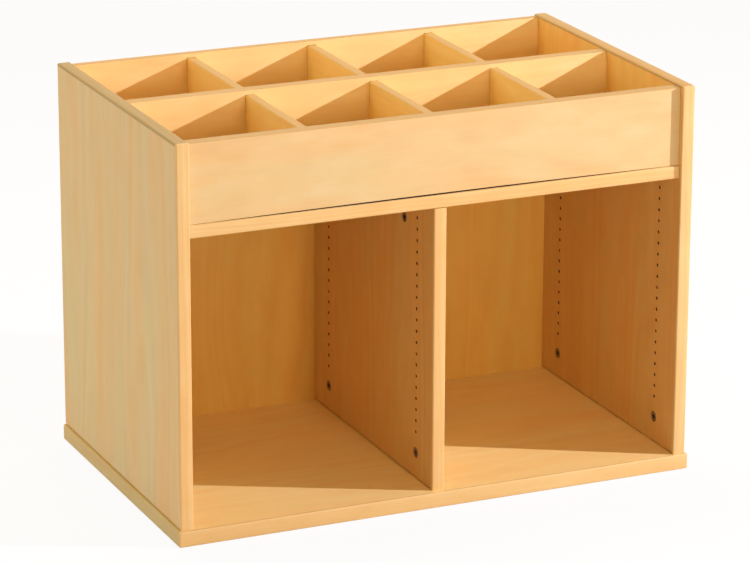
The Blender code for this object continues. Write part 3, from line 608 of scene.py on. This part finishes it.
def drilled_face(columns, rows, holes, housings, arris):
    """One face of an upright on a grid, with blind round holes and housings; the third coordinate is the depth.

    A hole takes the square of grid cells round it: spokes from its centre to the square's outline meet its circle,
    so each ring of the hole has a point for each point of the outline. The grid's last line all round lies lower by
    the arris, and the points inside a housing lie at its depth.
    """
    over, up = np.meshgrid(columns, rows)
    depth = np.zeros_like(over)
    depth[[0, -1], :] = arris
    depth[:, [0, -1]] = arris
    for span_y, span_z, deep in housings:
        inside_y = (over > span_y[0] + WALL_LEAN / 2) & (over < span_y[1] - WALL_LEAN / 2)
        inside_z = (up > span_z[0] + WALL_LEAN / 2) & (up < span_z[1] - WALL_LEAN / 2)
        depth[inside_y & inside_z] = deep
    points = [np.stack([over, up, depth], -1).reshape(-1, 3)]
    whole = np.ones((len(rows) - 1, len(columns) - 1), bool)
    count = len(points[0])
    drilled, raw = [], []
    for centre_y, centre_z, radius, deep in holes:
        left, right = (int(np.abs(columns - centre_y - way * HOLE_CELL).argmin()) for way in (-1, 1))
        foot, head = (int(np.abs(rows - centre_z - way * HOLE_CELL).argmin()) for way in (-1, 1))
        whole[foot:head, left:right] = False
        outline = block_outline(foot, head, left, right, len(columns))
        spokes = points[0][outline, :2] - (centre_y, centre_z)
        spokes /= np.linalg.norm(spokes, axis=1)[:, None]
        ring = outline
        for reach, low in ((radius + HOLE_EASING, 0.0), (radius, HOLE_EASING), (radius, deep)):
            circle = np.column_stack([spokes * reach + (centre_y, centre_z), np.full(len(outline), low)])
            points.append(circle)
            lower = count + np.arange(len(outline))
            (drilled if ring is outline else raw).extend(between_rings(ring, lower))
            ring = lower
            count += len(outline)
        raw.append(ring.tolist())
    row, column = np.nonzero(whole)
    corner = row * len(columns) + column
    plain = np.stack([corner, corner + 1, corner + len(columns) + 1, corner + len(columns)], 1).tolist()
    return np.concatenate(points), plain + drilled, raw


def upright(low, high, left_cuts, right_cuts, arris):
    """Points, faces and material marks of an upright: two cut faces joined round their outlines.

    The cuts of a face are its holes and its housings. A face with holes is marked as an inside, and a plain one, as
    well as the edges, as an outside.
    """
    holes = left_cuts[0] + right_cuts[0]
    housings = left_cuts[1] + right_cuts[1]
    columns = grid_lines(low.y, high.y, arris, [hole[0] for hole in holes], [housing[0] for housing in housings])
    rows = grid_lines(low.z, high.z, arris, [hole[1] for hole in holes], [housing[1] for housing in housings])
    rim = block_outline(0, len(rows) - 1, 0, len(columns) - 1, len(columns))
    points, wood, raw, rims, marks, count = [], [], [], [], [], 0
    for face_x, inwards, (drilled, housed) in ((low.x, 1, left_cuts), (high.x, -1, right_cuts)):
        flat, plain, cut = drilled_face(columns, rows, drilled, housed, arris)
        points.append(np.column_stack([face_x + inwards * flat[:, 2], flat[:, 0], flat[:, 1]]))
        wood += [[count + corner for corner in face] for face in plain]
        marks += [INSIDE if drilled else OUTSIDE] * len(plain)
        raw += [[count + corner for corner in face] for face in cut]
        rims.append(count + rim)
        count += len(flat)
    edges = between_rings(*rims)
    marks += [OUTSIDE] * len(edges) + [DRILLED] * len(raw)
    return np.concatenate(points), wood + edges + raw, marks


def across_axis(axis):
    """Two directions across an axis; the second is up where the axis is level."""
    up = np.array((1.0, 0, 0)) if abs(axis[2]) > 0.5 else np.array((0, 0, 1.0))
    return np.cross(up, axis), up


def cam_face(centre, axis, radius):
    """Points and faces of a cam's face: closed rings about its axis, from a cross-shaped opening to its rim.

    The opening's reach at an angle is the larger reach of two crossing bars, and the rim has a small notch that
    shows how far the cam is turned. Each ring lies a share of the way from opening to rim, at a depth of its own.
    """
    angle = np.linspace(0, 2 * math.pi, CAM_FACE_SIDES, endpoint=False)
    level, rise = (np.maximum(np.abs(part), LEAST_SLOPE) for part in (np.cos(angle), np.sin(angle)))
    opening = np.maximum(np.minimum(CROSS_LONG / level, CROSS_SHORT / rise),
                         np.minimum(CROSS_SHORT / level, CROSS_LONG / rise))
    from_notch = np.abs(angle - math.pi / 2) / NOTCH_HALF
    rim = radius - NOTCH_DEPTH * np.maximum(0, 1 - from_notch)
    share, depth = CAM_FACE_RINGS.T
    reach = opening + share[:, None] * (rim - opening)
    side, up = across_axis(axis)
    points = (np.asarray(centre) + reach[..., None] * (np.cos(angle)[:, None] * side + np.sin(angle)[:, None] * up)
              - (depth * MM)[:, None, None] * np.asarray(axis, float))
    rings = np.arange(reach.size).reshape(reach.shape)
    faces = [face for pair in zip(rings, np.roll(rings, -1, 0)) for face in between_rings(*pair)]
    return points.reshape(-1, 3), faces


def turned_rod(node, way, places, radius):
    """Points and faces of a rod about a node's long axis, from rows of places and a radius by row and angle."""
    low, high = (np.array(corner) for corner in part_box(node))
    run = int(np.argmax(high - low))
    middle = (low + high) / 2
    angle = np.linspace(0, 2 * math.pi, radius.shape[1], endpoint=False)
    points = np.empty((*radius.shape, 3))
    points[..., run] = (low[run] if way > 0 else high[run]) + way * places[:, None]
    points[..., run - 2] = middle[run - 2] + radius * np.cos(angle)
    points[..., run - 1] = middle[run - 1] + radius * np.sin(angle)
    return capped_tube(points)


def bolt_shape():
    """Places and radii of a connecting bolt: a wood thread, a smooth shank, a thin neck and a round head.

    The thread's radius falls from crest to root and back once for each turn, along a helix: its phase is the place
    over the pitch less the angle over a turn, and root and crest grow to their size over the first pitch.
    """
    angle = np.arange(BOLT_SIDES) / BOLT_SIDES
    thread = np.linspace(0, THREAD_LENGTH, THREAD_ROWS)
    phase = (thread[:, None] / THREAD_PITCH - angle) % 1
    zigzag = 1 - 2 * np.abs(phase - 0.5)
    crest = np.clip(THREAD_STEEPNESS * zigzag - THREAD_ROOT_FLAT, 0, 1)
    turns = thread[:, None] / THREAD_PITCH
    fade = np.clip(turns, POINT_CREST, 1)
    cut = THREAD_ROOT * (POINT_ROOT + (1 - POINT_ROOT) * np.clip(turns, 0, 1))
    places = np.concatenate([thread, BOLT_PROFILE[:, 0] * MM])
    plain = np.repeat(BOLT_PROFILE[:, 1:] * MM, BOLT_SIDES, 1)
    return places, np.concatenate([cut + fade * crest * (THREAD_CREST - THREAD_ROOT), plain])


def dowel_shape(radius, length):
    """Places and radii of a dowel: a round rod with fine flutes along it and chamfered ends."""
    angle = np.linspace(0, 2 * math.pi, DOWEL_SIDES, endpoint=False)
    places = np.array([0, DOWEL_CHAMFER, FLUTE_START, length - FLUTE_START, length - DOWEL_CHAMFER, length])
    width = radius - CHAMFER_DROP * np.array([1, 0, 0, 0, 0, 1])
    flute = FLUTE_DEPTH * (0.5 - 0.5 * np.cos(FLUTES * angle))
    share = np.array([0, 0, 1, 1, 0, 0])
    return places, width[:, None] - share[:, None] * flute


def cam_hole(cam):
    """Bore of a cam in its upright's face: centre, radius and depth."""
    low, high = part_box(cam)
    middle = (low + high) / 2
    radius = (high.y - low.y) / 2 + CAM_CLEARANCE
    return (middle.y, middle.z, radius, CAM_BORE_DEPTH)


def pin_holes(foot_cams):
    """Both lines of pin holes above the two foot cams of an upright."""
    sizes = bpy.context.scene.cabinet_pieces
    radius = sizes.pin_diameter / 2
    lines = [cam_hole(cam) for cam in foot_cams]
    return [(line[0], line[1] + PIN_ABOVE_CAM + PIN_PITCH * step, radius, sizes.pin_depth)
            for line in lines for step in range(PIN_COUNT)]


def side_housings():
    """Housings in a side's inner face: the ends of the long bin boards, and the lower back panel's edge."""
    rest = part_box("bin_floor")[1].z
    housings = []
    for node in ("bin_front_board", "bin_middle_board", "bin_back_board"):
        low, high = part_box(node)
        housings.append(((low.y - JOINT_GAP, high.y + JOINT_GAP), (rest, TONGUE_TOP + JOINT_GAP), HOUSING_DEPTH))
    low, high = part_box("lower_back_panel")
    housings.append(((low.y - JOINT_GAP, high.y + JOINT_GAP), (low.z, high.z + JOINT_GAP), BACK_GROOVE_DEPTH))
    return housings


class CABINET_OT_veneer_boards(bpy.types.Operator):
    """Give each board that keeps its solid a leaf of veneer"""

    bl_idname = "cabinet.veneer_boards"
    bl_label = "Veneered boards"

    def execute(self, context):
        for leaf, (node, (grain, tone, figure)) in enumerate(LEAVES.items(), start=1):
            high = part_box(node)[1]
            banded = high.z - TOP_BAND_T if node.startswith("bin_") and node != "bin_floor" else None
            backed = high.y - REAR_FACE if "back" in node else None
            veneer = lacquered_maple(f"lacquered_maple_veneer_{node}", grain, tone, leaf, figure,
                                     shaded_top_from=banded, backed_from=backed)
            frame["nodes"][node].material_slots[0].material = veneer
        return {'FINISHED'}


class CABINET_OT_apron(bpy.types.Operator):
    """Replace the bins' front board by one whose lower edge bows up over a near-black strip of painted shade, so its
    seam shows dark
    """

    bl_idname = "cabinet.apron"
    bl_label = "Front board of the bins"

    def execute(self, context):
        sizes = context.scene.cabinet_pieces
        dividers = [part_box(f"bin_divider_{count}") for count in (1, 2, 3)]
        grooves = [(low.x + high.x) / 2 for low, high in dividers]
        low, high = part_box("bin_front_board")
        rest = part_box("bin_floor")[1].z
        points, faces = apron_board(low, high, rest + SEAM_CLOSED, grooves, sizes.board_radius, sizes.apron_bow)
        veneer = lacquered_maple("lacquered_maple_veneer_bin_front_board", "x", "front_leaf", FRONT_BOARD_LEAF,
                                 FRONT_FIGURE, shaded_top_from=high.z - TOP_BAND_T)
        piece = make_piece("bin_front_board_bowed", points, faces, CARCASS, [veneer])
        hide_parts("bin_front_board")
        half = high.x - TONGUE_LENGTH
        # The near-black strip on the bin floor under the board is painted shade that darkens the seam.
        strip = (-half, low.y + SEAM_INSET, rest), (half, high.y - SEAM_INSET, rest + SEAM_CLOSED)
        points, faces = swept_band(*strip, "x", "+z", "square", "square", SEAM_CLOSED / 2)
        # Near-black chips here are painted shade, not a real stain.
        painted_shade = chipboard_or_painted_shade("painted_shade_seam_strip_material", "#15110C", "#2E2418")
        make_piece("bin_floor_painted_shade_strip", points, faces, CARCASS, [painted_shade])
        return {'FINISHED'}


class CABINET_OT_drilled_uprights(bpy.types.Operator):
    """Replace the sides and the partition by uprights with round pin holes"""

    bl_idname = "cabinet.drilled_uprights"
    bl_label = "Drilled uprights"

    def execute(self, context):
        arris = context.scene.cabinet_pieces.arris
        core = chipboard_or_painted_shade("drilled_chipboard", "#4A2A0E", "#8A5A28")
        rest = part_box("bin_floor")[1].z
        for leaf, node in enumerate(UPRIGHTS, start=FIRST_UPRIGHT_LEAF):
            foot = "partition_foot" if node == "centre_partition" else node
            foot_cams = [f"{foot}_cam_{end}" for end in ENDS]
            pins = pin_holes(foot_cams)
            cams = [cam_hole(cam) for cam in foot_cams]
            if node == "left_side":
                left, right = ([], []), (pins + cams, side_housings())
            elif node == "right_side":
                left, right = (pins + cams, side_housings()), ([], [])
            else:
                heads = [cam_hole(f"partition_head_cam_{end}") for end in ENDS]
                left, right = (pins + cams + heads, []), (pins, [])
            low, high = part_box(node)
            low.z += FOOT_GAP
            points, faces, marks = upright(low, high, left, right, arris)
            veneer = f"lacquered_maple_veneer_{node}"
            inside = leaf + INSIDE_LEAVES
            leaves = [lacquered_maple(veneer, "z", "outer_leaf", leaf, OUTER_FIGURE), core,
                      lacquered_maple(f"{veneer}_inside", "z", "inner_leaf", inside, INNER_FIGURE)]
            # Above the bin floor the inside takes a lighter copy of its leaf, as painted light
            if node != "centre_partition":
                leaves.append(lacquered_maple(f"{veneer}_in_bins", "z", "bin_side_painted_light_leaf", inside, INNER_FIGURE))
                lowest = np.array([points[face, 2].min() for face in faces])
                marks = np.where((np.array(marks) == INSIDE) & (lowest > rest - SAME_POINT), IN_BINS, marks)
            piece = make_piece(f"{node}_drilled", points, faces, CARCASS, leaves, marks)
            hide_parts(node)
        return {'FINISHED'}


class CABINET_OT_edge_bands(bpy.types.Operator):
    """Replace the edge bands by bands with round edges, glued to their boards"""

    bl_idname = "cabinet.edge_bands"
    bl_label = "Edge bands"

    def execute(self, context):
        sizes = context.scene.cabinet_pieces
        for leaf, (node, (along, facing, tone, start, stop)) in enumerate(BANDS.items(), start=FIRST_BAND_LEAF):
            low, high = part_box(node)
            low.z -= BAND_FOOT if along == "z" else 0
            radius = sizes.post_radius if along == "z" else sizes.band_radius
            points, faces = swept_band(low, high, along, facing, start, stop, radius)
            wood = lacquered_maple(f"lacquered_maple_band_{node}", along, tone, leaf, BAND_FIGURE, BAND_GROWTH)
            piece = make_piece(f"{node}_rounded", points, faces, CARCASS, [wood])
            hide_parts(node)
        return {'FINISHED'}


class CABINET_OT_cams(bpy.types.Operator):
    """Give the cams their metal and a face with a cross recess, a groove and a notch"""

    bl_idname = "cabinet.cams"
    bl_label = "Cams"

    def execute(self, context):
        drum = cast_zinc("die_cast_zinc_raw", "#2A2522", "#46403B", rough=0.7, smooth=0.6)
        plated = cast_zinc("die_cast_zinc_nickel_plated", "#6A5C50", "#A5988B", rough=0.45, smooth=0.28)
        for joint in frame["joints"]:
            cam = joint["child"]
            frame["nodes"][cam].material_slots[0].material = drum
            low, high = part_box(cam)
            radius = (high.y - low.y) / 2
            points, faces = cam_face(joint["pos_m"], joint["axis"], radius)
            make_piece(f"{cam}_face", points, faces, cam, [plated])
        return {'FINISHED'}


class CABINET_OT_bolts(bpy.types.Operator):
    """Replace the connecting bolts by bolts with a thread, a neck and a round head"""

    bl_idname = "cabinet.bolts"
    bl_label = "Connecting bolts"

    def execute(self, context):
        steel = plated_steel()
        places, radius = bolt_shape()
        for node in [name for name in frame["nodes"] if "_bolt_" in name]:
            way = next(sign for start, sign in BOLT_WAYS.items() if node.startswith(start))
            points, faces = turned_rod(node, way, places, radius)
            piece = make_piece(f"{node}_threaded", points, faces, CARCASS, [steel])
            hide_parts(node)
        return {'FINISHED'}


class CABINET_OT_dowels(bpy.types.Operator):
    """Replace the dowels by fluted dowels with chamfered ends"""

    bl_idname = "cabinet.dowels"
    bl_label = "Dowels"

    def execute(self, context):
        woods = {}
        for node in [name for name in frame["nodes"] if "_dowel_" in name]:
            low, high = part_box(node)
            sides = high - low
            length = max(sides)
            grain = "xyz"[list(sides).index(length)]
            if grain not in woods:
                woods[grain] = turned_beech(grain)
            points, faces = turned_rod(node, 1, *dowel_shape(min(sides) / 2, length))
            piece = make_piece(f"{node}_fluted", points, faces, CARCASS, [woods[grain]])
            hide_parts(node)
        return {'FINISHED'}


AIM = Vector((0.0031, 0.0, 0.2534))
EYE = Vector((-2.0175, -4.5452, 1.8415))
ROLL = math.radians(0.2)
VIEW_END = 200.0                 # well past the floor's far edge
FLOOR_HALF = 30.0
FLOOR_DROP = 0.4 * MM            # keeps the floor clear of the base
PAPER_SEEN = "#F4F3F0"           # the floor's paper where it is seen
PAPER_BOUNCE = "#DEDCD8"         # the same where it only throws light back
PAPER_GLOW = 0.91                # share of its brightness that is its own where it is seen

# Lamps: the point that they look at, the key lamp, and place and diameter of the soft panels
LAMP_AIM = Vector((0, 0, 0.35))
KEY_DISTANCE = 4.3
KEY_SIZE = 0.08
LEFT_PANEL = (Vector((-2.6, 0.7, 0.9)), 1.8)
FRONT_PANEL = (Vector((0.1, -4.4, 1.35)), 0.8)
TOP_PANEL = (Vector((-0.2, 1.0, 2.9)), 1.6)


def add_aimed(name, data, eye, target, roll=0.0):
    """A lamp or camera that looks from one point to another, with its X level, rolled about the line of sight."""
    holder = bpy.data.objects.new(name, data)
    holder.location = eye
    holder.rotation_mode = 'QUATERNION'
    holder.rotation_quaternion = (target - eye).to_track_quat('-Z', 'Y') @ Quaternion((0, 0, 1), roll)
    bpy.context.scene.collection.objects.link(holder)
    return holder


def add_lamp(name, place, size, power, colour=(1, 1, 1)):
    """A round lamp that looks at the cabinet."""
    lamp = bpy.data.lights.new(name, 'AREA')
    lamp.shape = 'DISK'
    lamp.size = size
    lamp.energy = power
    lamp.color = colour
    add_aimed(name, lamp, place, LAMP_AIM)


def seen_directly(tree):
    """1 for rays from the camera, a mirror or glass, and 0 for the rays that light the object."""
    path = add(tree, "ShaderNodeLightPath").outputs
    first = add(tree, "ShaderNodeMath", (path["Is Camera Ray"], path["Is Glossy Ray"]), operation='MAXIMUM')
    return add(tree, "ShaderNodeMath", (first, path["Is Transmission Ray"]), operation='MAXIMUM')


def paper_sweep():
    """Matt white paper sweep: pale and even, with most of its brightness its own, so shadows on it stay light."""
    material, tree, shader = new_material("matt_white_paper_sweep")
    tree.nodes.remove(shader)
    paper = add(tree, "ShaderNodeBsdfDiffuse", {"Color": (*linear(PAPER_SEEN), 1)})
    dim = add(tree, "ShaderNodeBsdfDiffuse", {"Color": (*linear(PAPER_BOUNCE), 1)})
    glow = add(tree, "ShaderNodeEmission", {"Color": (1, 1, 1, 1), "Strength": 1.0})
    shown = add(tree, "ShaderNodeMixShader", (PAPER_GLOW, paper, glow))
    both = add(tree, "ShaderNodeMixShader", (seen_directly(tree), dim, shown))
    set_inputs(tree, tree.nodes["Material Output"], {"Surface": both})
    return material


class CABINET_OT_stage(bpy.types.Operator):
    """Set the floor, the lamps, the surrounding light and the camera"""

    bl_idname = "cabinet.stage"
    bl_label = "Studio"

    def execute(self, context):
        scene = context.scene
        stage = scene.cabinet_stage
        corners = [(x * FLOOR_HALF, y * FLOOR_HALF, -FLOOR_DROP) for x, y in ((-1, -1), (1, -1), (1, 1), (-1, 1))]
        mesh = bpy.data.meshes.new("floor")
        mesh.from_pydata(corners, [], [(0, 1, 2, 3)])
        mesh.materials.append(paper_sweep())
        floor = bpy.data.objects.new("floor", mesh)
        scene.collection.objects.link(floor)

        level = math.cos(stage.key_elevation)
        to_key = Vector((level * math.sin(stage.key_azimuth), -level * math.cos(stage.key_azimuth),
                         math.sin(stage.key_elevation)))
        add_lamp("key_lamp", LAMP_AIM + to_key * KEY_DISTANCE, KEY_SIZE, stage.key_power, stage.key_colour)
        add_lamp("left_fill", *LEFT_PANEL, stage.fill_power)
        add_lamp("front_fill", *FRONT_PANEL, stage.front_power, stage.front_colour)
        add_lamp("top_fill", *TOP_PANEL, stage.top_power, stage.top_colour)

        world = bpy.data.worlds.new("studio")
        world.use_nodes = True
        tree = world.node_tree
        around = tree.nodes["Background"]
        set_inputs(tree, around, {"Color": (*stage.ambient_colour, 1), "Strength": stage.ambient})
        white = add(tree, "ShaderNodeBackground", {"Color": (1, 1, 1, 1), "Strength": 1.0})
        both = add(tree, "ShaderNodeMixShader", (seen_directly(tree), around, white))
        set_inputs(tree, tree.nodes["World Output"], {"Surface": both})
        scene.world = world

        lens = bpy.data.cameras.new("camera")
        lens.lens = stage.lens
        lens.clip_end = VIEW_END
        scene.camera = add_aimed("camera", lens, EYE, AIM, ROLL)
        scene.view_settings.view_transform = 'Standard'
        return {'FINISHED'}


class CABINET_PT_panel(bpy.types.Panel):
    """Buttons and settings for the cabinet"""

    bl_idname = "CABINET_PT_panel"
    bl_label = "Paper storage cabinet"
    bl_space_type = 'VIEW_3D'
    bl_region_type = 'UI'
    bl_category = "Cabinet"

    def draw(self, context):
        layout = self.layout
        for operator in OPERATORS:
            layout.operator(operator.bl_idname)
        for group in SETTINGS:
            settings = getattr(context.scene, group)
            box = layout.box()
            for name in settings.bl_rna.properties.keys():
                if name not in {"rna_type", "name"}:
                    box.prop(settings, name)


SETTINGS = {"cabinet_veneer": VeneerSettings, "cabinet_pieces": PieceSettings, "cabinet_stage": StageSettings}
OPERATORS = (CABINET_OT_veneer_boards, CABINET_OT_apron, CABINET_OT_drilled_uprights, CABINET_OT_edge_bands,
             CABINET_OT_cams, CABINET_OT_bolts, CABINET_OT_dowels, CABINET_OT_stage)


def register():
    """Register the classes and hang the settings on the scene."""
    for made in (*SETTINGS.values(), *OPERATORS, CABINET_PT_panel):
        bpy.utils.register_class(made)
    for name, group in SETTINGS.items():
        setattr(bpy.types.Scene, name, PointerProperty(type=group))


def unregister():
    """Take the settings and the classes away again."""
    for name in SETTINGS:
        delattr(bpy.types.Scene, name)
    for made in reversed((*SETTINGS.values(), *OPERATORS, CABINET_PT_panel)):
        bpy.utils.unregister_class(made)


def main():
    """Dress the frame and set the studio."""
    register()
    bpy.ops.cabinet.veneer_boards()
    bpy.ops.cabinet.apron()
    bpy.ops.cabinet.drilled_uprights()
    bpy.ops.cabinet.edge_bands()
    bpy.ops.cabinet.cams()
    bpy.ops.cabinet.bolts()
    bpy.ops.cabinet.dowels()
    bpy.ops.cabinet.stage()


if __name__ == "__main__":
    main()
